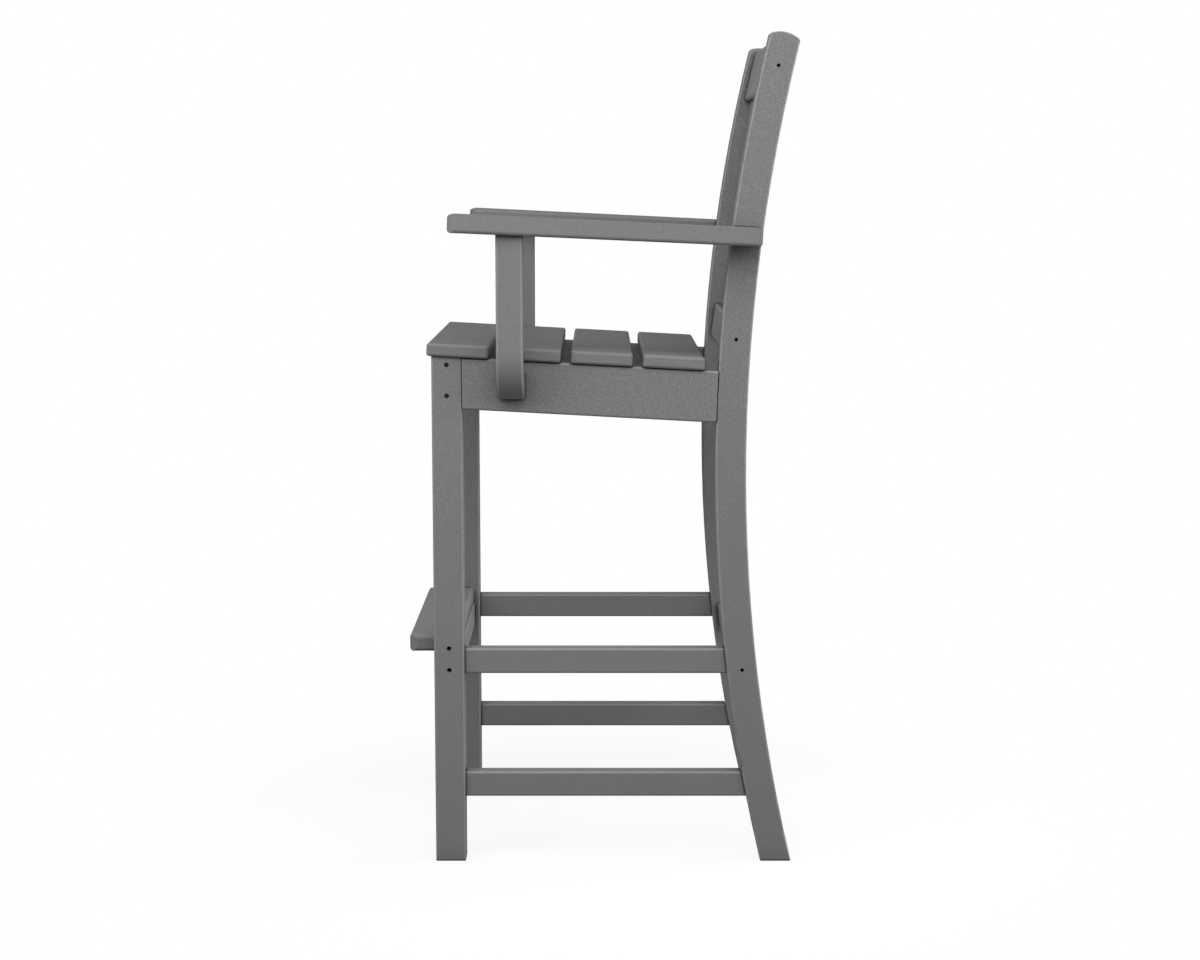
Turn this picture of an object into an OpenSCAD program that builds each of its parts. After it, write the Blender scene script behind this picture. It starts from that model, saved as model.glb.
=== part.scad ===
// Bar-height armchair of grey plastic lumber, for a garden or terrace.
// The sitter faces -Y, the sitter's left is +X, and the feet stand on Z = 0.

/* [Legs and posts] */
// Height of the chair at the crowns of the back posts
chair_h = 1225; // [1150:1:1300]
// Width over the outer faces of the legs and posts
frame_w = 465.4; // [430:0.1:540]
// Distance from the front of the front legs to the rear of the back feet
base_d = 533; // [510:1:580]
// Thickness of a leg or post across the chair
leg_t = 38; // [34:0.5:42]
// Depth of a leg or post from front to rear
leg_d = 44.8; // [41:0.1:50]
// Rounding along the edges of a leg or post
leg_round = 3; // [1:0.5:5]
// Radius of the bend of the back posts at their front faces
bend_r = 2626; // [2300:1:3200]
// Height of the foremost point of the bend
bend_h = 606; // [570:1:640]
// Radius of the arch on top of a back post
crown_r = 43; // [30:1:60]
// Rounding of the front and rear corners of a crown
crown_corner_r = 7.5; // [3:0.5:10]

/* [Seat] */
// Height of the top of the seat at its front edge
seat_h = 779.7; // [740:0.1:805]
// Slope of the seat down to the rear, in degrees
seat_slope = 3.05; // [0:0.05:5]
// Width of a seat slat
slat_w = 90.3; // [78:0.1:94]
// Thickness of a seat slat
slat_t = 19; // [16:0.5:22]
// Rounding along the edges of a seat slat
slat_round = 4.5; // [1:0.5:7]
// Overhang of the seat slats beyond the outer faces of the legs
slat_side_over = 5.8; // [0:0.1:9]
// Overhang of the first slat in front of the front legs
slat_front_over = 5.8; // [0:0.1:9]
// Gap between the last slat and the back posts
slat_rear_gap = 22.3; // [10:0.1:30]
// Height of a side apron
apron_h = 75.9; // [66:0.1:84]
// Thickness of a side apron
apron_t = 25; // [22:0.5:28]
// Height of the front apron
front_apron_h = 69; // [60:0.5:76]
// Thickness of the front apron
front_apron_t = 25; // [22:0.5:30]
// Rounding along the edges of aprons and stretchers
rail_round = 3.5; // [1:0.5:6]

/* [Back] */
// Rise of the middle of the lower back rail above the front edge of the seat
lower_rail_rise = 4.4; // [2:0.1:16]
// Height of the lower back rail
lower_rail_h = 54; // [48:0.5:60]
// Drop of the middle of the top rail below the crowns
top_rail_drop = 48.1; // [44:0.1:66]
// Height of the top rail
top_rail_h = 79.5; // [72:0.5:88]
// Thickness of both back rails
back_rail_t = 25; // [23:0.5:29]
// Rounding along the edges of both back rails
back_rail_round = 5; // [1:0.5:8]
// Width of a back slat
back_slat_w = 64; // [56:0.5:70]
// Thickness of a back slat
back_slat_t = 16.5; // [14:0.5:18]
// Rounding along the edges of a back slat
back_slat_round = 3; // [1:0.5:5]
// Length of the lap of a back slat over each rail
back_slat_lap = 20; // [16:0.5:22]

/* [Arms] */
// Rise of the front of the arms above the front edge of the seat
arm_rise = 187.2; // [170:0.1:220]
// Slope of the arms down to the rear, in degrees
arm_slope = 2.67; // [0:0.01:5]
// Thickness of an arm
arm_t = 26; // [23:0.5:30]
// Width of an arm at its front
arm_front_w = 92.5; // [86:0.5:110]
// Width of an arm at its rear
arm_rear_w = 55; // [50:0.5:70]
// Distance from the front of the legs back to the front of the arms
arm_setback = 31.2; // [15:0.1:45]
// Distance of the rear ends of the arms in front of the rear faces of the posts
arm_end_in = 2.6; // [0:0.1:8]
// Radius of the front corners of an arm, seen from above
arm_corner_r = 12; // [6:0.5:20]
// Radius of the outer rear corners of an arm, seen from above
arm_end_r = 4; // [2:0.5:8]
// Rounding along the edges of an arm
arm_round = 5.5; // [1:0.5:7]
// Width of an arm bracket from front to rear
bracket_w = 38.4; // [34:0.1:44]
// Thickness of an arm bracket
bracket_t = 38; // [34:0.5:42]
// Reach of an arm bracket out from the frame
bracket_reach = 72.5; // [66:0.5:80]
// Distance from the rear of the front legs back to an arm bracket
bracket_back = 53.2; // [40:0.1:62]
// Drop of the bracket's lower end below the top of the side apron
bracket_drop = 18.7; // [8:0.1:22]
// Rounding along the edges of an arm bracket
bracket_round = 4; // [1:0.5:6]

/* [Stretchers and footrest] */
// Height of the top of the footrest
footrest_h = 338.5; // [320:0.5:360]
// Thickness of the footrest board
footrest_t = 26; // [22:0.5:28]
// Depth of the footrest board
footrest_d = 74.5; // [70:0.5:82]
// Reach of the footrest in front of the front legs
footrest_toe = 39.6; // [34:0.1:44]
// Radius of the corners of the footrest, seen from above
footrest_corner_r = 12; // [6:0.5:18]
// Rounding along the edges of the footrest
footrest_round = 6.5; // [1:0.5:8]
// Height of the front and rear stretchers
stretcher_h = 39.5; // [35:0.5:42]
// Thickness of the front stretcher
front_stretcher_t = 28; // [24:0.5:32]
// Thickness of the rear stretcher
rear_stretcher_t = 25; // [22:0.5:30]
// Height of a side rail
side_rail_h = 38; // [34:0.5:44]
// Thickness of a side rail
side_rail_t = 25; // [22:0.5:30]
// Drop of the middle of an upper side rail below the footrest's top
upper_rail_drop = 33.2; // [30:0.1:36]
// Height of the middle of a lower side rail
lower_side_rail_h = 117; // [80:1:160]

/* [Screws] */
// Diameter of a screw's shank
shank_d = 4; // [3.5:0.1:4.5]
// Diameter of a screw's head
head_d = 6.4; // [6:0.1:7]
// Diameter of the heads of the screws through the outer faces of the posts
post_head_d = 5; // [4.8:0.1:7]
// Height of a screw's head
head_h = 2.5; // [2:0.1:3]
// Width of the square socket in a head
socket_w = 2.6; // [2:0.1:3]
// Depth of the sunk holes in the outer faces of legs and posts
sink_depth = 18; // [6:0.5:20]
// Depth of the sunk holes of the front apron's screws
apron_sink = 4.5; // [3.5:0.5:12]
// Depth of the sunk holes in slats, arms and the insides of aprons
board_sink = 5; // [3.5:0.5:7]
// Length of the screws through legs and posts
long_screw = 60; // [56:1:66]
// Length of the screws through arms, aprons and slats
short_screw = 38; // [34:1:41]
// Length of the screws in the back slats
lap_screw = 17; // [14:0.5:18]

/* [Fits] */
// Clearance where a board's end follows the bend of a post
bend_fit = 0.3; // [0.2:0.05:0.6]
// Clearance around the laps of the back slats
lap_fit = 0.3; // [0.2:0.05:0.6]
// Clearance between the ends of the footrest board and the legs
footrest_fit = 1.4; // [0.2:0.1:2]
// Clearance around a shank, on the radius
shank_fit = 0.1; // [0.05:0.05:0.2]
// Clearance around a head in its sunk hole, on the radius
head_fit = 0.3; // [0.1:0.05:0.5]

/* [Hidden] */
$fn = 32;
bend_fn = 720;
round_fn = 96;

board_grey = [0.48, 0.48, 0.47];
steel_grey = [0.75, 0.75, 0.74];
slat_count = 4;
back_slat_count = 5;
// Size of a cutting block, larger than the chair
far = 2 * chair_h;

// Legs: the depth from the footrest's toe to the back feet is centred on Y = 0
front_y = -(base_d + footrest_toe) / 2;
leg_front_y = front_y + footrest_toe;
leg_y = leg_front_y + leg_d / 2;
leg_rear_y = leg_front_y + leg_d;
leg_x = frame_w / 2 - leg_t / 2;
inner_w = frame_w - 2 * leg_t;

// Back posts: circular arcs about one line along X
post_rear_r = bend_r - leg_d;
post_mid_r = bend_r - leg_d / 2;
bend_y = leg_front_y + base_d + sqrt(post_rear_r ^ 2 - bend_h ^ 2);
crown_z = chair_h - crown_r;
// The rim of the crown is rounded less than the long edges that run into it
crown_round = leg_round * 2 / 3;
// How far the corner circles stand proud of the faces that they join
corner_proud = 0.15;
crown_corner_y = leg_d / 2 + corner_proud - crown_corner_r;
crown_corner_z = sqrt((crown_r + corner_proud - crown_corner_r) ^ 2 - crown_corner_y ^ 2);
// Angle by which the bent bar is longer than a post at each end
bend_spare = 2;
function arc_y(r, z) = bend_y - sqrt(r ^ 2 - (z - bend_h) ^ 2);
function lean(z) = asin((z - bend_h) / post_mid_r);

// Seat plane
seat_front_y = leg_front_y - slat_front_over;
function seat_under_z(y) = seat_h - (y - seat_front_y) * tan(seat_slope) - slat_t / cos(seat_slope);
seat_rear_y = arc_y(bend_r, seat_h) - slat_rear_gap;
seat_run = (seat_rear_y - seat_front_y) / cos(seat_slope);
slat_pitch = (seat_run - slat_w) / (slat_count - 1);
apron_x = frame_w / 2 - apron_t / 2;
front_apron_z = seat_under_z(leg_y) - front_apron_h / 2;
apron_rear_z = seat_under_z(arc_y(bend_r, seat_h)) - apron_h / 2;

// Back rails and the line of the back slats
lower_rail_z = seat_h + lower_rail_rise;
top_rail_z = chair_h - top_rail_drop;
lower_rail_y = arc_y(post_mid_r, lower_rail_z);
top_edge_y = arc_y(post_mid_r, top_rail_z) - top_rail_h / 2 * sin(lean(top_rail_z));
top_edge_z = top_rail_z - top_rail_h / 2 * cos(lean(top_rail_z));
back_lean = atan2(top_edge_y - lower_rail_y, top_edge_z - lower_rail_z);
back_run = norm([top_edge_y - lower_rail_y, top_edge_z - lower_rail_z]);
back_slat_gap = (inner_w - back_slat_count * back_slat_w) / (back_slat_count + 1);
back_slat_y = back_rail_t / 2 - back_slat_t / 2;
back_slat_low = lower_rail_h / 2 - back_slat_lap;
back_slat_high = back_run + back_slat_lap;
function back_slat_x(i) = -inner_w / 2 + back_slat_gap + back_slat_w / 2
  + i * (back_slat_w + back_slat_gap);

// Arms and brackets
arm_h = seat_h + arm_rise;
arm_front_y = leg_front_y + arm_setback;
function arm_top_z(y) = arm_h - (y - arm_front_y) * tan(arm_slope);
arm_end_z = arm_top_z(arc_y(post_rear_r, arm_h)) - arm_t / 2;
arm_rear_y = arc_y(post_rear_r, arm_end_z) - arm_end_in;
arm_length = (arm_rear_y - arm_front_y) / cos(arm_slope);
arm_taper = atan((arm_front_w - arm_rear_w) / arm_length);
arm_corner_x = frame_w / 2 + arm_front_w - arm_corner_r * (1 / cos(arm_taper) + tan(arm_taper));
// Distance between the two screws that hold the rear of an arm
arm_screw_gap = leg_d * 0.45;
bracket_x = frame_w / 2 + bracket_reach - bracket_t / 2;
bracket_y = leg_rear_y + bracket_back + bracket_w / 2;
bracket_bend = bracket_reach - bracket_t / 2;
bracket_end_z = seat_under_z(bracket_y) - bracket_drop - bracket_t / 2;
bracket_screw_gap = bracket_w / 2;

// Stretchers, footrest and side rails
footrest_z = footrest_h - footrest_t / 2;
stretcher_z = footrest_h - footrest_t - stretcher_h / 2;
upper_rail_z = footrest_h - upper_rail_drop;

// Screws
shank_hole_d = shank_d + 2 * shank_fit;
tip_h = shank_d;
// Distance of the screws from the edges of the front apron
apron_screw_in = 11.8;
// Distance between the two screws in an end of a side apron
apron_screw_gap = 18;
// Offset of the first slat's screws behind the screws of the front apron
slat_screw_back = 11;
// The slats' screws reach two thirds into the slats
seat_screw_sink = apron_h - short_screw + slat_t * 2 / 3;
lap_sink = head_h + head_fit;

// Shapes

// A rectangle with round corners, centred
module round_rect(w, h, r) {
  square([w - 2 * r, h], center = true);
  square([w, h - 2 * r], center = true);
  for (x = [-1, 1], y = [-1, 1])
    translate([x * (w / 2 - r), y * (h / 2 - r)]) circle(r);
}

// A board along X, with round long edges and square ends
module cross_board(length, d, h, r) {
  rotate([90, 0, 90]) linear_extrude(length, center = true) round_rect(d, h, r);
}

// A board along Y, with round long edges and square ends
module long_board(length, w, h, r) {
  rotate([90, 0, 0]) linear_extrude(length, center = true) round_rect(w, h, r);
}

// A board lying flat, with round edges all around and round corners
module flat_board(w, d, t, edge, corner) {
  intersection() {
    linear_extrude(t, center = true) round_rect(w, d, corner);
    cross_board(w, d, t, edge);
    long_board(d, w, t, edge);
  }
}

// What rounds off a square corner at the origin, whose quarter circle's centre is the origin
module corner_cut(r) {
  difference() {
    square(2 * r);
    circle(r, $fn = round_fn);
  }
}

// The left side's pieces lie at +X; side -1 mirrors them to the right
module on_side(side) {
  mirror([side < 0 ? 1 : 0, 0, 0]) children();
}

module on_both_sides() {
  for (side = [-1, 1]) on_side(side) children();
}

// Y runs back along the seat's top from its front edge, Z is square to it
module on_seat() {
  translate([0, seat_front_y, seat_h]) rotate([-seat_slope, 0, 0]) children();
}

// Z runs up along a post's centre line, from its point at height z
module on_post(z) {
  translate([0, arc_y(post_mid_r, z), z]) rotate([-lean(z), 0, 0]) children();
}

// Z runs up along the back slats, from the middle of the lower back rail
module on_back() {
  translate([0, lower_rail_y, lower_rail_z]) rotate([-back_lean, 0, 0]) children();
}

// Y runs back along the top of an arm from its front end, Z is square to it
module on_arm() {
  translate([0, arm_front_y, arm_h]) rotate([-arm_slope, 0, 0]) children();
}

// All that lies under the seat slats
module under_slats() {
  on_seat() translate([-far / 2, -far / 2, -far - slat_t]) cube(far);
}

// All that lies behind the front legs
module behind_legs() {
  translate([-far / 2, leg_rear_y, 0]) cube(far);
}

// All that lies behind the front faces of the back posts
module behind_bend() {
  translate([0, bend_y, bend_h]) rotate([0, 90, 0])
    cylinder(r = bend_r + bend_fit, h = frame_w + leg_t, center = true, $fn = bend_fn);
}

// Screws: Z = 0 is the face that the screw enters, and it points to +Z

module screw(sink, length, head = head_d) {
  translate([0, 0, sink - head_h]) difference() {
    cylinder(d = head, h = head_h);
    translate([-socket_w / 2, -socket_w / 2, -head_h / 2]) cube([socket_w, socket_w, head_h]);
  }
  translate([0, 0, sink]) cylinder(d = shank_d, h = length - tip_h);
  translate([0, 0, sink + length - tip_h]) cylinder(d1 = shank_d, d2 = shank_d / 4, h = tip_h);
}

module screw_hole(sink, length, head = head_d) {
  translate([0, 0, -sink]) cylinder(d = head + 2 * head_fit, h = 2 * sink);
  cylinder(d = shank_hole_d, h = sink + length + shank_fit);
}

// Into the outer face of a leg or post, at height z
module from_outside(y, z) {
  translate([frame_w / 2, y, z]) rotate([0, -90, 0]) children();
}

module at_front_apron() {
  for (z = [-1, 1])
    from_outside(leg_y, front_apron_z + z * (front_apron_h / 2 - apron_screw_in)) children();
}

module at_front_stretcher() {
  from_outside(leg_y, stretcher_z) children();
}

module at_footrest() {
  from_outside(leg_y, footrest_z) children();
}

module at_back_rails() {
  for (z = [lower_rail_z, top_rail_z]) from_outside(arc_y(post_mid_r, z), z) children();
}

module at_rear_stretcher() {
  from_outside(arc_y(post_mid_r, stretcher_z), stretcher_z) children();
}

module at_side_fronts() {
  for (z = [-1, 1])
    translate([apron_x, leg_front_y, front_apron_z + z * apron_screw_gap / 2])
      rotate([-90, 0, 0]) children();
  for (z = [upper_rail_z, lower_side_rail_h])
    translate([leg_x, leg_front_y, z]) rotate([-90, 0, 0]) children();
}

module at_side_rears() {
  for (side = [-1, 1], z = apron_rear_z + side * apron_screw_gap / 2)
    translate([apron_x, arc_y(post_rear_r, z), z]) rotate([90, 0, 0]) children();
  for (z = [upper_rail_z, lower_side_rail_h])
    translate([leg_x, arc_y(post_rear_r, z), z]) rotate([90, 0, 0]) children();
}

module at_arm_post() {
  for (y = [-1, 1])
    translate([frame_w / 2 - leg_t, arc_y(post_mid_r, arm_end_z) + y * arm_screw_gap / 2, arm_end_z])
      rotate([0, 90, 0]) children();
}

module at_arm_top() {
  for (side = [-1, 1], y = bracket_y + side * bracket_screw_gap / 2)
    translate([bracket_x, y, arm_top_z(y)]) rotate([180, 0, 0]) children();
}

module at_bracket_foot() {
  for (y = [-1, 1])
    translate([frame_w / 2 - apron_t, bracket_y + y * bracket_screw_gap / 2, bracket_end_z])
      rotate([0, 90, 0]) children();
}

module at_front_slat() {
  on_seat() translate([leg_x, (leg_y + slat_screw_back - seat_front_y) / cos(seat_slope), 0])
    rotate([180, 0, 0]) children();
}

// Up through deep holes in the side aprons, into the other slats
module at_seat_slats() {
  on_seat() for (i = [1 : slat_count - 1])
    translate([apron_x, i * slat_pitch + slat_w / 2, -slat_t - apron_h]) children();
}

// From behind, through the laps of the back slats
module at_back_slats() {
  on_back() for (i = [0 : back_slat_count - 1], z = [back_slat_low, back_slat_high - back_slat_lap])
    translate([back_slat_x(i), back_rail_t / 2, z + back_slat_lap / 2]) rotate([90, 0, 0]) children();
}

// Pieces

module front_leg(side) {
  color(board_grey) on_side(side) difference() {
    intersection() {
      translate([leg_x, leg_y, 0]) linear_extrude(seat_h) round_rect(leg_t, leg_d, leg_round);
      under_slats();
    }
    at_front_apron() screw_hole(apron_sink, long_screw);
    at_front_stretcher() screw_hole(sink_depth, long_screw);
    at_footrest() screw_hole(sink_depth, long_screw);
    at_side_fronts() screw_hole(sink_depth, long_screw);
    at_front_slat() screw_hole(board_sink, short_screw);
  }
}

// The bent bar, longer than the post at both ends
module bent_bar(side) {
  sweep = lean(chair_h) - lean(0) + 2 * bend_spare;
  translate([side * leg_x, bend_y, bend_h]) rotate([0, 90, 0])
    rotate([0, 0, 270 - bend_spare - lean(chair_h)]) rotate_extrude(angle = sweep, $fn = bend_fn)
      translate([post_mid_r, 0]) round_rect(leg_d, leg_t, leg_round);
}

// A disc with a round rim, which shapes the crown
module crown_disc(side) {
  translate([side * leg_x, arc_y(post_mid_r, crown_z), crown_z]) rotate([0, 90, 0])
    rotate_extrude($fn = round_fn) intersection() {
      round_rect(2 * crown_r, leg_t, crown_round);
      translate([0, -leg_t / 2]) square([crown_r, leg_t]);
    }
}

// What rounds off the front and rear corners of a crown
module crown_corners(side) {
  translate([side * leg_x, 0, 0]) on_post(crown_z) for (end = [-1, 1])
    translate([0, end * crown_corner_y, crown_corner_z]) mirror([0, end < 0 ? 1 : 0, 0])
      rotate([90, 0, 90]) linear_extrude(2 * leg_t, center = true) corner_cut(crown_corner_r);
}

module back_post(side) {
  color(board_grey) difference() {
    intersection() {
      bent_bar(side);
      union() {
        crown_disc(side);
        translate([-frame_w, 0, 0]) cube([2 * frame_w, far / 2, crown_z]);
      }
    }
    crown_corners(side);
    on_side(side) {
      at_back_rails() screw_hole(sink_depth, long_screw, post_head_d);
      at_rear_stretcher() screw_hole(sink_depth, long_screw, post_head_d);
      at_side_rears() screw_hole(sink_depth, long_screw);
      at_arm_post() screw_hole(sink_depth, long_screw);
    }
  }
}

module side_apron(side) {
  color(board_grey) on_side(side) difference() {
    intersection() {
      on_seat() translate([apron_x, seat_run / 2, -slat_t - apron_h / 2])
        long_board(far, apron_t, apron_h, rail_round);
      behind_legs();
    }
    behind_bend();
    at_side_fronts() screw_hole(sink_depth, long_screw);
    at_side_rears() screw_hole(sink_depth, long_screw);
    at_bracket_foot() screw_hole(board_sink, short_screw);
    at_seat_slats() screw_hole(seat_screw_sink, short_screw);
  }
}

module front_apron() {
  color(board_grey) difference() {
    intersection() {
      translate([0, leg_y, front_apron_z + rail_round])
        cross_board(inner_w, front_apron_t, front_apron_h + 2 * rail_round, rail_round);
      under_slats();
    }
    on_both_sides() at_front_apron() screw_hole(apron_sink, long_screw);
  }
}

module seat_slat(i) {
  color(board_grey) difference() {
    on_seat() translate([0, i * slat_pitch + slat_w / 2, -slat_t / 2])
      flat_board(frame_w + 2 * slat_side_over, slat_w, slat_t, slat_round, slat_round);
    on_both_sides() {
      if (i == 0) at_front_slat() screw_hole(board_sink, short_screw);
      if (i > 0) at_seat_slats() screw_hole(seat_screw_sink, short_screw);
    }
  }
}

// The arm's outline from above: straight along the post, tapered outside
module arm_outline() {
  tangent_y = arm_corner_r * (1 + sin(arm_taper));
  difference() {
    intersection() {
      translate([frame_w / 2, 0])
        polygon([[0, 0], [arm_front_w, 0], [arm_rear_w, arm_length], [0, arm_length]]);
      union() {
        translate([frame_w / 2 + arm_corner_r, arm_corner_r]) circle(arm_corner_r);
        translate([arm_corner_x, arm_corner_r]) circle(arm_corner_r);
        translate([frame_w / 2 + arm_corner_r, 0])
          square([arm_corner_x - frame_w / 2 - arm_corner_r, far]);
        translate([frame_w / 2, arm_corner_r]) square([arm_corner_x - frame_w / 2, far]);
        translate([arm_corner_x, tangent_y]) square([arm_front_w, far]);
      }
    }
    translate([frame_w / 2 + arm_rear_w + corner_proud - arm_end_r, arm_length + corner_proud - arm_end_r])
      corner_cut(arm_end_r);
  }
}

module arm(side) {
  color(board_grey) on_side(side) difference() {
    on_arm() intersection() {
      translate([0, 0, -arm_t]) linear_extrude(arm_t) arm_outline();
      translate([frame_w / 2 + arm_front_w, arm_length / 2, -arm_t / 2])
        long_board(2 * arm_length, 2 * arm_front_w, arm_t, arm_round);
      translate([frame_w / 2 + arm_front_w, 0, -arm_t / 2]) rotate([0, 0, arm_taper])
        translate([-arm_front_w, 0, 0]) long_board(3 * arm_length, 2 * arm_front_w, arm_t, arm_round);
      translate([frame_w / 2 + arm_front_w / 2, arm_length / 2, -arm_t / 2])
        cross_board(2 * arm_front_w, arm_length, arm_t, arm_round);
    }
    at_arm_post() screw_hole(sink_depth, long_screw);
    at_arm_top() screw_hole(board_sink, short_screw);
  }
}

module arm_bracket(side) {
  bend_z = bracket_end_z + bracket_bend;
  color(board_grey) on_side(side) difference() {
    intersection() {
      translate([0, bracket_y, 0]) union() {
        translate([bracket_x, 0, bend_z]) linear_extrude(arm_h)
          round_rect(bracket_t, bracket_w, bracket_round);
        translate([frame_w / 2, 0, bend_z]) rotate([-90, 0, 0]) rotate_extrude(angle = 90, $fn = round_fn)
          translate([bracket_bend, 0]) round_rect(bracket_t, bracket_w, bracket_round);
      }
      on_arm() translate([0, -far / 2, -far - arm_t]) cube(far);
    }
    at_arm_top() screw_hole(board_sink, short_screw);
    at_bracket_foot() screw_hole(board_sink, short_screw);
  }
}

// The space that the back slats take up, with a clearance around their laps
module back_slat_pockets() {
  on_back() for (i = [0 : back_slat_count - 1])
    translate([back_slat_x(i) - back_slat_w / 2 - lap_fit, back_slat_y - back_slat_t / 2,
               back_slat_low - lap_fit])
      cube([back_slat_w + 2 * lap_fit, back_rail_t, back_slat_high - back_slat_low + 2 * lap_fit]);
}

module back_top_rail() {
  color(board_grey) difference() {
    on_post(top_rail_z) cross_board(inner_w, back_rail_t, top_rail_h, back_rail_round);
    back_slat_pockets();
    at_back_slats() screw_hole(lap_sink, lap_screw);
    on_both_sides() at_back_rails() screw_hole(sink_depth, long_screw, post_head_d);
  }
}

module back_lower_rail() {
  color(board_grey) difference() {
    on_back() cross_board(inner_w, back_rail_t, lower_rail_h, back_rail_round);
    back_slat_pockets();
    at_back_slats() screw_hole(lap_sink, lap_screw);
    on_both_sides() at_back_rails() screw_hole(sink_depth, long_screw, post_head_d);
  }
}

module back_slat(i) {
  color(board_grey) difference() {
    on_back() translate([back_slat_x(i), back_slat_y, back_slat_low])
      linear_extrude(back_slat_high - back_slat_low)
        round_rect(back_slat_w, back_slat_t, back_slat_round);
    at_back_slats() screw_hole(lap_sink, lap_screw);
  }
}

module side_rail(side, z) {
  color(board_grey) on_side(side) difference() {
    intersection() {
      translate([leg_x, 0, z]) long_board(far, side_rail_t, side_rail_h, rail_round);
      behind_legs();
    }
    behind_bend();
    at_side_fronts() screw_hole(sink_depth, long_screw);
    at_side_rears() screw_hole(sink_depth, long_screw);
  }
}

module front_stretcher() {
  color(board_grey) difference() {
    translate([0, leg_y, stretcher_z])
      cross_board(inner_w, front_stretcher_t, stretcher_h, rail_round);
    on_both_sides() at_front_stretcher() screw_hole(sink_depth, long_screw);
  }
}

module footrest_board() {
  color(board_grey) difference() {
    translate([0, front_y + footrest_d / 2, footrest_z])
      flat_board(inner_w - 2 * footrest_fit, footrest_d, footrest_t, footrest_round, footrest_corner_r);
    on_both_sides() at_footrest() screw_hole(sink_depth, long_screw);
  }
}

module rear_stretcher() {
  color(board_grey) difference() {
    on_post(stretcher_z) cross_board(inner_w, rear_stretcher_t, stretcher_h, rail_round);
    on_both_sides() at_rear_stretcher() screw_hole(sink_depth, long_screw, post_head_d);
  }
}

// Screws, one group for each kind of joint

module front_apron_screws() {
  color(steel_grey) on_both_sides() at_front_apron() screw(apron_sink, long_screw);
}

module front_stretcher_screws() {
  color(steel_grey) on_both_sides() at_front_stretcher() screw(sink_depth, long_screw);
}

module footrest_screws() {
  color(steel_grey) on_both_sides() at_footrest() screw(sink_depth, long_screw);
}

module back_rail_screws() {
  color(steel_grey) on_both_sides() at_back_rails() screw(sink_depth, long_screw, post_head_d);
}

module rear_stretcher_screws() {
  color(steel_grey) on_both_sides() at_rear_stretcher() screw(sink_depth, long_screw, post_head_d);
}

module side_front_screws() {
  color(steel_grey) on_both_sides() at_side_fronts() screw(sink_depth, long_screw);
}

module side_rear_screws() {
  color(steel_grey) on_both_sides() at_side_rears() screw(sink_depth, long_screw);
}

module arm_post_screws() {
  color(steel_grey) on_both_sides() at_arm_post() screw(sink_depth, long_screw);
}

module arm_top_screws() {
  color(steel_grey) on_both_sides() at_arm_top() screw(board_sink, short_screw);
}

module bracket_foot_screws() {
  color(steel_grey) on_both_sides() at_bracket_foot() screw(board_sink, short_screw);
}

module front_slat_screws() {
  color(steel_grey) on_both_sides() at_front_slat() screw(board_sink, short_screw);
}

module seat_slat_screws() {
  color(steel_grey) on_both_sides() at_seat_slats() screw(seat_screw_sink, short_screw);
}

module back_slat_screws() {
  color(steel_grey) at_back_slats() screw(lap_sink, lap_screw);
}

front_leg(1);  // front_leg_left
front_leg(-1);  // front_leg_right
back_post(1);  // back_post_left
back_post(-1);  // back_post_right
side_apron(1);  // side_apron_left
side_apron(-1);  // side_apron_right
front_apron();
seat_slat(0);  // seat_slat_1
seat_slat(1);  // seat_slat_2
seat_slat(2);  // seat_slat_3
seat_slat(3);  // seat_slat_4
arm(1);  // arm_left
arm(-1);  // arm_right
arm_bracket(1);  // arm_bracket_left
arm_bracket(-1);  // arm_bracket_right
back_top_rail();
back_lower_rail();
back_slat(0);  // back_slat_1
back_slat(1);  // back_slat_2
back_slat(2);  // back_slat_3
back_slat(3);  // back_slat_4
back_slat(4);  // back_slat_5
side_rail(1, upper_rail_z);  // side_rail_upper_left
side_rail(-1, upper_rail_z);  // side_rail_upper_right
side_rail(1, lower_side_rail_h);  // side_rail_lower_left
side_rail(-1, lower_side_rail_h);  // side_rail_lower_right
front_stretcher();
footrest_board();
rear_stretcher();
front_apron_screws();
front_stretcher_screws();
footrest_screws();
back_rail_screws();
rear_stretcher_screws();
side_front_screws();
side_rear_screws();
arm_post_screws();
arm_top_screws();
bracket_foot_screws();
front_slat_screws();
seat_slat_screws();
back_slat_screws();
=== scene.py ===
import math

import bpy
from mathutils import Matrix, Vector

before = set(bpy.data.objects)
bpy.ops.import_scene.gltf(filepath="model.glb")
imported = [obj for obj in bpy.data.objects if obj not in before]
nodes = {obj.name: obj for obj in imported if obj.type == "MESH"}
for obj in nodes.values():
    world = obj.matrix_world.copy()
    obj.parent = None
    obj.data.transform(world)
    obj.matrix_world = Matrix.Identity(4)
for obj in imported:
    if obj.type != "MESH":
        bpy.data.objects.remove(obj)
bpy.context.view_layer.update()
scene = bpy.context.scene
print("frame loaded:", len(nodes), "nodes")


# Shader helpers

def addNode(tree, kind, inputs=None, **settings):
    node = tree.nodes.new(kind)
    for key, value in settings.items():
        setattr(node, key, value)
    for key, value in (inputs or {}).items():
        if isinstance(value, bpy.types.NodeSocket):
            tree.links.new(value, node.inputs[key])
        else:
            node.inputs[key].default_value = value
    return node


def calc(tree, operation, *values):
    return addNode(tree, "ShaderNodeMath", dict(enumerate(values)), operation=operation).outputs[0]


def split(tree, vector):
    return addNode(tree, "ShaderNodeSeparateXYZ", {0: vector}).outputs


def mapRange(tree, value, start, end, toStart=0.0, toEnd=1.0, blend="LINEAR"):
    inputs = {"Value": value, "From Min": start, "From Max": end, "To Min": toStart, "To Max": toEnd}
    return addNode(tree, "ShaderNodeMapRange", inputs, interpolation_type=blend).outputs[0]


def scaled(tree, vector, along, across):
    factors = (1 / along, 1 / across, 1 / across)
    return addNode(tree, "ShaderNodeVectorMath", {0: vector, 1: factors}, operation="MULTIPLY").outputs[0]


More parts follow.
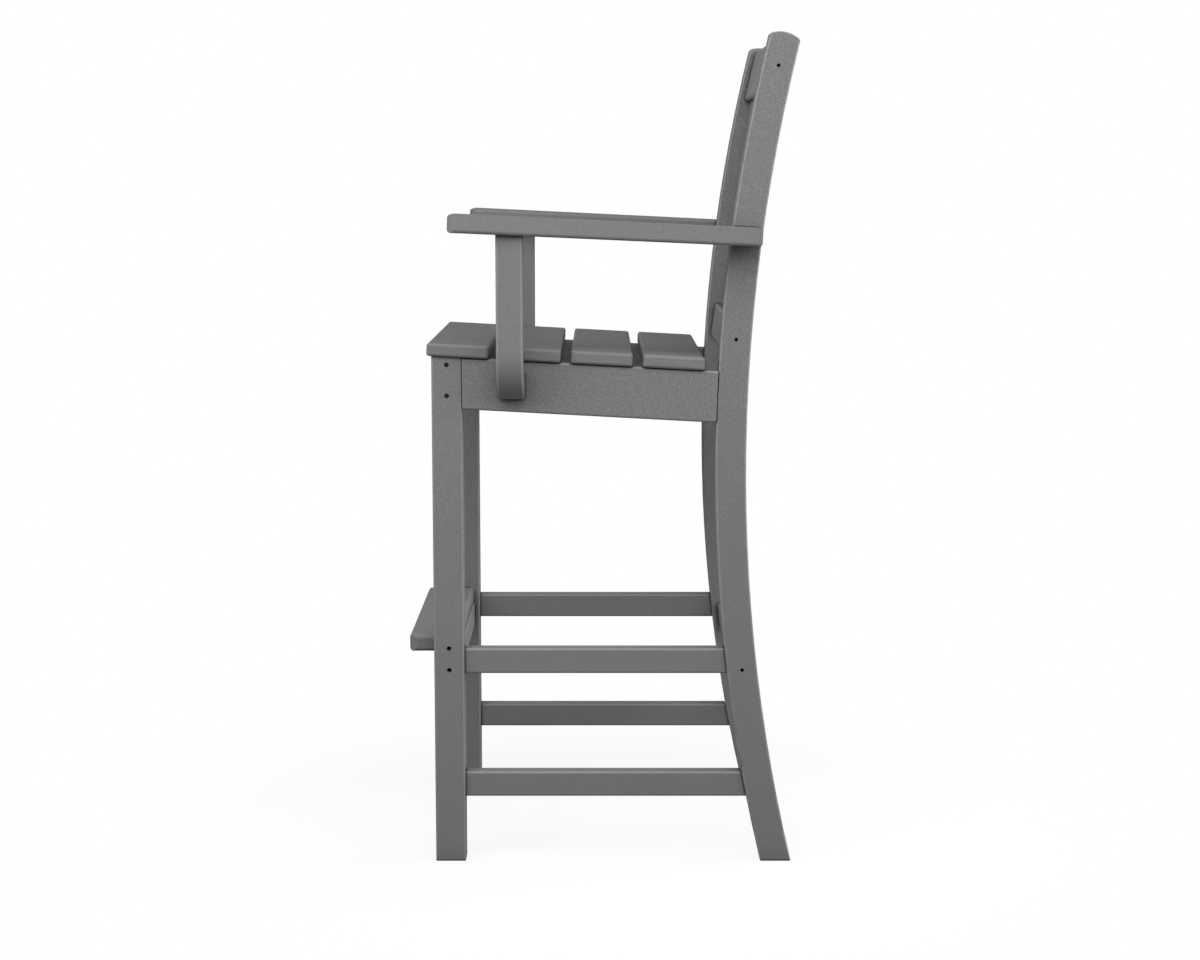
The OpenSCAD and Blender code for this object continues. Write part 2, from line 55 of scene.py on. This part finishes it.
def noise(tree, vector, detail=2.0, roughness=0.5):
    inputs = {"Vector": vector, "Scale": 1.0, "Detail": detail, "Roughness": roughness}
    node = addNode(tree, "ShaderNodeTexNoise", inputs)
    return calc(tree, "SUBTRACT", node.outputs["Fac"], 0.5)


def newMaterial(name):
    material = bpy.data.materials.new(name)
    material.use_nodes = True
    tree = material.node_tree
    tree.nodes.clear()
    shader = tree.nodes.new("ShaderNodeBsdfPrincipled")
    output = tree.nodes.new("ShaderNodeOutputMaterial")
    tree.links.new(shader.outputs[0], output.inputs["Surface"])
    return material, tree, shader


# Colour times tone, relief in metres and roughness

def giveSurface(tree, shader, colour, tone, relief, rough):
    painted = addNode(tree, "ShaderNodeVectorMath", {0: colour, "Scale": tone}, operation="SCALE")
    bump = addNode(tree, "ShaderNodeBump", {"Height": relief, "Distance": 1.0, "Strength": 1.0})
    tree.links.new(painted.outputs[0], shader.inputs["Base Color"])
    tree.links.new(bump.outputs[0], shader.inputs["Normal"])
    tree.links.new(rough, shader.inputs["Roughness"])


# The run of a board, as (along, across, through) in metres.
# The pieces' own coordinates are those of the whole chair.

bend = {
    "centreY": 2.7954,  # the line that the back posts bend about
    "centreZ": 0.606,
    "radius": 2.6036,
}


def boardRun(tree, run, lean):
    place = addNode(tree, "ShaderNodeTexCoord").outputs["Object"]
    if run == "bent":
        parts = split(tree, place)
        y = calc(tree, "SUBTRACT", bend["centreY"], parts[1])
        z = calc(tree, "SUBTRACT", parts[2], bend["centreZ"])
        along = calc(tree, "MULTIPLY", calc(tree, "ARCTAN2", z, y), bend["radius"])
        squares = calc(tree, "ADD", calc(tree, "MULTIPLY", y, y), calc(tree, "MULTIPLY", z, z))
        picked = (along, parts[0], calc(tree, "SQRT", squares))
    else:
        turn = {"Vector": place, "Angle": math.radians(lean)}
        parts = split(tree, addNode(tree, "ShaderNodeVectorRotate", turn, rotation_type="X_AXIS").outputs[0])
        order = {"across": (0, 1, 2), "back": (1, 0, 2), "up": (2, 0, 1)}[run]
        picked = [parts[axis] for axis in order]
    return addNode(tree, "ShaderNodeCombineXYZ", dict(enumerate(picked))).outputs[0]


# Plastic lumber: an even grey with a fine stipple, faint lines, soft clouds of tone, painted highlights on rounded
# edges and painted shade in joints and corners.
# Sizes and reaches are in metres, tones are shares of the colour.

lumber = {
    "colour": (0.2, 0.2, 0.195),
    "stippleSize": 0.0022,
    "stippleRough": 0.7,
    "stippleTone": 0.95,
    "stippleDepth": 0.00012,
    "stippleLow": (0.15, 0.35),  # height, and how much of the stipple's tone shows there
    "stippleHigh": (0.85, 1.2),
    "lineLength": 0.16,
    "lineWidth": 0.0011,
    "lineTone": 0.05,
    "lineDepth": 0.00004,
    "cloudSize": 0.05,
    "cloudStretch": 2.0,
    "cloudDetail": 3.0,
    "cloudTone": 0.05,
    "boardTone": 0.03,  # from board to board
    "boardShift": 7.0,
    "edgeWear": 0.4,  # painted highlight: how much lighter the rounded edges are made
    "edgeHighlightSpread": 0.2,
    "edgeTurn": (0.1, 0.42),
    "seamReach": 0.0045,
    "seamTone": 0.15,  # what is left of the colour deep in a joint under the painted shade
    "seamOpenness": (0.5, 0.92),  # full painted shade, no painted shade
    "cornerReach": 0.03,
    "cornerTone": 0.8,
    "cornerOpenness": (0.4, 0.95),
    "gloss": 0.1,
    "roughness": 0.7,
    "roughnessSpread": 0.12,
}


# How far a surface turns from one face of its board to the next, up to 0.5 in the middle of a rounded edge.
# A painted highlight goes on the long upright edges and on those that face up.

def roundedEdge(tree, run, turnRange):
    normal = split(tree, addNode(tree, "ShaderNodeTexCoord").outputs["Normal"])
    x = calc(tree, "ABSOLUTE", normal[0])
    y = calc(tree, "ABSOLUTE", normal[1])
    if run == "bent":
        rest = calc(tree, "SQRT", calc(tree, "SUBTRACT", 1.0, calc(tree, "MULTIPLY", x, x)))
        turn = calc(tree, "MULTIPLY", x, rest)
    elif run == "up":
        turn = calc(tree, "MULTIPLY", x, y)
    else:
        turn = calc(tree, "MULTIPLY", calc(tree, "MAXIMUM", normal[2], 0.0), calc(tree, "MAXIMUM", x, y))
    return mapRange(tree, turn, *turnRange, blend="SMOOTHSTEP")


# The stipple shows less towards the floor

def weathering(tree, low, high):
    height = split(tree, addNode(tree, "ShaderNodeTexCoord").outputs["Object"])[2]
    return mapRange(tree, height, low[0], high[0], low[1], high[1])


# Painted shade where boards meet and in corners, by how closed in the surface is within the reach

def paintedShade(tree, reach, toneLeft, openness):
    node = addNode(tree, "ShaderNodeAmbientOcclusion", {"Distance": reach}, samples=6)
    return mapRange(tree, node.outputs["AO"], *openness, toneLeft, 1.0)


def lumberMaterial(name, run, lean=0.0, **changes):
    look = {**lumber, **changes}
    material, tree, shader = newMaterial(name)
    chance = addNode(tree, "ShaderNodeObjectInfo").outputs["Random"]  # one number for each board
    shift = addNode(tree, "ShaderNodeCombineXYZ", {0: calc(tree, "MULTIPLY", chance, look["boardShift"])})
    place = addNode(
        tree, "ShaderNodeVectorMath", {0: boardRun(tree, run, lean), 1: shift.outputs[0]}, operation="ADD"
    ).outputs[0]
    dots = scaled(tree, place, look["stippleSize"], look["stippleSize"])
    stipple = noise(tree, dots, roughness=look["stippleRough"])
    lines = noise(tree, scaled(tree, place, look["lineLength"], look["lineWidth"]))
    patches = scaled(tree, place, look["cloudSize"] * look["cloudStretch"], look["cloudSize"])
    clouds = noise(tree, patches, look["cloudDetail"])

    speckle = calc(tree, "MULTIPLY", stipple, weathering(tree, look["stippleLow"], look["stippleHigh"]))
    tone = calc(tree, "MULTIPLY_ADD", speckle, look["stippleTone"], 1.0)
    tone = calc(tree, "MULTIPLY_ADD", lines, look["lineTone"], tone)
    tone = calc(tree, "MULTIPLY_ADD", clouds, look["cloudTone"], tone)
    tone = calc(tree, "MULTIPLY_ADD", calc(tree, "SUBTRACT", chance, 0.5), look["boardTone"], tone)
    # Painted highlight: rounded edges made lighter
    paintedHighlight = calc(tree, "MULTIPLY_ADD", stipple, look["edgeHighlightSpread"], look["edgeWear"])
    paintedHighlight = calc(tree, "MULTIPLY", paintedHighlight, roundedEdge(tree, run, look["edgeTurn"]))
    tone = calc(tree, "MULTIPLY", tone, calc(tree, "ADD", paintedHighlight, 1.0))
    # Painted shade in joints, under boards and in corners
    for kind in ("seam", "corner"):
        shadeFactor = paintedShade(tree, look[kind + "Reach"], look[kind + "Tone"], look[kind + "Openness"])
        tone = calc(tree, "MULTIPLY", tone, shadeFactor)

    relief = calc(tree, "MULTIPLY", stipple, look["stippleDepth"])
    relief = calc(tree, "MULTIPLY_ADD", lines, look["lineDepth"], relief)
    rough = calc(tree, "MULTIPLY_ADD", stipple, look["roughnessSpread"], look["roughness"])
    giveSurface(tree, shader, look["colour"], tone, relief, rough)
    shader.inputs["Specular IOR Level"].default_value = look["gloss"]
    return material


# Steel screws at the bottom of their sunk holes, painted near black as the shade in the holes, with fine marks of
# the lathe

screwSteelPaintedShade = {
    "colour": (0.02, 0.02, 0.02),
    "markSize": 0.00025,
    "markTone": 0.3,
    "markDepth": 0.00001,
    "roughness": 0.35,
    "roughnessSpread": 0.2,
}


def screwMaterial():
    look = screwSteelPaintedShade
    material, tree, shader = newMaterial("screwSteelPaintedShade")
    place = addNode(tree, "ShaderNodeTexCoord").outputs["Object"]
    marks = noise(tree, scaled(tree, place, look["markSize"], look["markSize"]))
    tone = calc(tree, "MULTIPLY_ADD", marks, look["markTone"], 1.0)
    relief = calc(tree, "MULTIPLY", marks, look["markDepth"])
    rough = calc(tree, "MULTIPLY_ADD", marks, look["roughnessSpread"], look["roughness"])
    giveSurface(tree, shader, look["colour"], tone, relief, rough)
    shader.inputs["Metallic"].default_value = 1.0
    return material


# Arms have a smoother skin. Slats and the footrest have faint marks across the board, as from a planer.

armSkin = {
    "colour": (0.21, 0.21, 0.205),
    "stippleSize": 0.0045,
    "stippleTone": 0.22,
    "lineLength": 0.3,
    "lineWidth": 0.0024,
    "lineTone": 0.1,
    "edgeWear": 0.12,
    "gloss": 0.04,
}
crossMarks = {"stippleTone": 0.12, "lineLength": 0.03, "lineWidth": 0.0065, "lineTone": 0.27, "edgeWear": 0.12}

slopes = {"seat": 3.05, "arm": 2.67, "back": 8.0}  # degrees, as in the frame

upright = lumberMaterial("lumberUpright", "up")
bracketBoard = lumberMaterial("lumberBracket", "up", stippleTone=0.45)
bent = lumberMaterial("lumberBent", "bent", edgeWear=0.6)
crosswise = lumberMaterial("lumberCrosswise", "across")
seatBoard = lumberMaterial("lumberSeatBoard", "back", slopes["seat"], **crossMarks, gloss=0.04)
footBoard = lumberMaterial("lumberFootBoard", "back", **crossMarks)
lengthwise = lumberMaterial("lumberLengthwise", "back", stippleTone=0.7)
seatSide = lumberMaterial("lumberSeatSide", "back", slopes["seat"], stippleTone=1.15)
armBoard = lumberMaterial("lumberArm", "back", slopes["arm"], **armSkin)
backSlat = lumberMaterial("lumberBackSlat", "up", slopes["back"])
steel = screwMaterial()

finishes = {  # by how a node's name starts
    "front_leg": upright,
    "arm_bracket": bracketBoard,
    "back_post": bent,
    "seat_slat": seatBoard,
    "front_apron": crosswise,
    "front_stretcher": crosswise,
    "rear_stretcher": crosswise,
    "footrest_board": footBoard,
    "back_top_rail": crosswise,
    "back_lower_rail": crosswise,
    "side_apron": seatSide,
    "side_rail": lengthwise,
    "arm_left": armBoard,
    "arm_right": armBoard,
    "back_slat": backSlat,
}


def finishOf(name):
    if name.endswith("_screws"):
        return steel
    return next(material for start, material in finishes.items() if name.startswith(start))


for name, node in nodes.items():
    for place in node.material_slots:
        place.material = finishOf(name)
print("finishes set:", len(bpy.data.materials))


# Floor and backdrop show white to the camera and in reflections. The chair gets only plain pale light from them.

floorLook = {
    "size": 30.0,
    "bounce": 0.25,  # what the floor sends back to the chair
    "shadowShare": 0.13,  # how much of the floor's white shows the shadow
    "glow": 0.87,
    "shadowReach": (0.4, 0.8),  # distances from the chair's middle over which the shadow fades out
}

studio = {"ambient": 0.05, "backdrop": 1.0}


def seenDirectly(tree):
    path = addNode(tree, "ShaderNodeLightPath").outputs
    seen = calc(tree, "MAXIMUM", path["Is Camera Ray"], path["Is Glossy Ray"])
    return calc(tree, "MAXIMUM", seen, path["Is Transmission Ray"])


def mixShaders(tree, share, first, second):
    return addNode(tree, "ShaderNodeMixShader", {0: share, 1: first, 2: second}).outputs[0]


def greyShader(tree, kind, tone=1.0, strength=None):
    inputs = {"Color": (tone, tone, tone, 1)}
    if strength is not None:
        inputs["Strength"] = strength
    return addNode(tree, kind, inputs).outputs[0]


def makeFloor():
    half = floorLook["size"] / 2
    corners = [(-half, -half, 0), (half, -half, 0), (half, half, 0), (-half, half, 0)]
    mesh = bpy.data.meshes.new("floor")
    mesh.from_pydata(corners, [], [(0, 1, 2, 3)])
    floor = bpy.data.objects.new("floor", mesh)
    scene.collection.objects.link(floor)
    material = bpy.data.materials.new("floorPaper")
    material.use_nodes = True
    tree = material.node_tree
    tree.nodes.clear()
    paper = greyShader(tree, "ShaderNodeBsdfDiffuse", floorLook["bounce"])
    shaded = greyShader(tree, "ShaderNodeBsdfDiffuse", floorLook["shadowShare"])
    glow = greyShader(tree, "ShaderNodeEmission", strength=floorLook["glow"])
    white = greyShader(tree, "ShaderNodeEmission", strength=1.0)
    near = addNode(tree, "ShaderNodeAddShader", {0: shaded, 1: glow}).outputs[0]
    place = addNode(tree, "ShaderNodeTexCoord").outputs["Object"]
    away = addNode(tree, "ShaderNodeVectorMath", {0: place}, operation="LENGTH").outputs["Value"]
    fade = mapRange(tree, away, *floorLook["shadowReach"], blend="SMOOTHSTEP")
    mixed = mixShaders(tree, seenDirectly(tree), paper, mixShaders(tree, fade, near, white))
    addNode(tree, "ShaderNodeOutputMaterial", {"Surface": mixed})
    mesh.materials.append(material)


def makeWorld():
    world = bpy.data.worlds.new("studio")
    scene.world = world
    world.use_nodes = True
    tree = world.node_tree
    tree.nodes.clear()
    ambient = greyShader(tree, "ShaderNodeBackground", strength=studio["ambient"])
    backdrop = greyShader(tree, "ShaderNodeBackground", strength=studio["backdrop"])
    mixed = mixShaders(tree, seenDirectly(tree), ambient, backdrop)
    addNode(tree, "ShaderNodeOutputWorld", {"Surface": mixed})


# Round soft boxes, each aimed at the middle of the chair. A box without gleam makes no reflections.

softBoxAim = (0, 0, 0.65)
softBoxes = {
    "keyFront": {"place": (1.3, -1.5, 1.6), "size": 1.6, "watts": 19.5},
    "keyRear": {"place": (1.75, 1.85, 1.5), "size": 1.9, "watts": 19.5},
    "cameraBox": {"place": (1.85, -0.1, 2.3), "size": 2.2, "watts": 38.0},
    "frontBox": {"place": (0.3, -2.1, 1.9), "size": 1.6, "watts": 2.5},
    "rearBox": {"place": (0.0, 2.2, 1.6), "size": 1.6, "watts": 38.0},
    "farBox": {"place": (-2.4, 0.0, 0.7), "size": 1.5, "watts": 18.0, "gleam": False},
}


def makeLights():
    for name, box in softBoxes.items():
        light = bpy.data.lights.new(name, "AREA")
        light.shape = "DISK"
        light.size = box["size"]
        light.energy = box["watts"]
        lamp = bpy.data.objects.new(name, light)
        lamp.location = box["place"]
        lamp.rotation_euler = (Vector(softBoxAim) - lamp.location).to_track_quat("-Z", "Y").to_euler()
        lamp.visible_camera = False
        lamp.visible_glossy = box.get("gleam", True)
        scene.collection.objects.link(lamp)


# The photograph's view, from the sitter's left

view = {
    "place": (3.4403, -0.0004, 1.0222),
    "down": 7.884,  # degrees below level
    "around": 90.0,
    "lens": 66.194,
    "sensor": 36.0,
}


def makeCamera():
    data = bpy.data.cameras.new("camera")
    data.lens = view["lens"]
    data.sensor_width = view["sensor"]
    camera = bpy.data.objects.new("camera", data)
    camera.location = view["place"]
    camera.rotation_euler = (math.radians(90 - view["down"]), 0, math.radians(view["around"]))
    scene.collection.objects.link(camera)
    scene.camera = camera


makeFloor()
makeWorld()
makeLights()
makeCamera()
scene.view_settings.view_transform = "Standard"
print("studio ready:", len(softBoxes), "soft boxes")
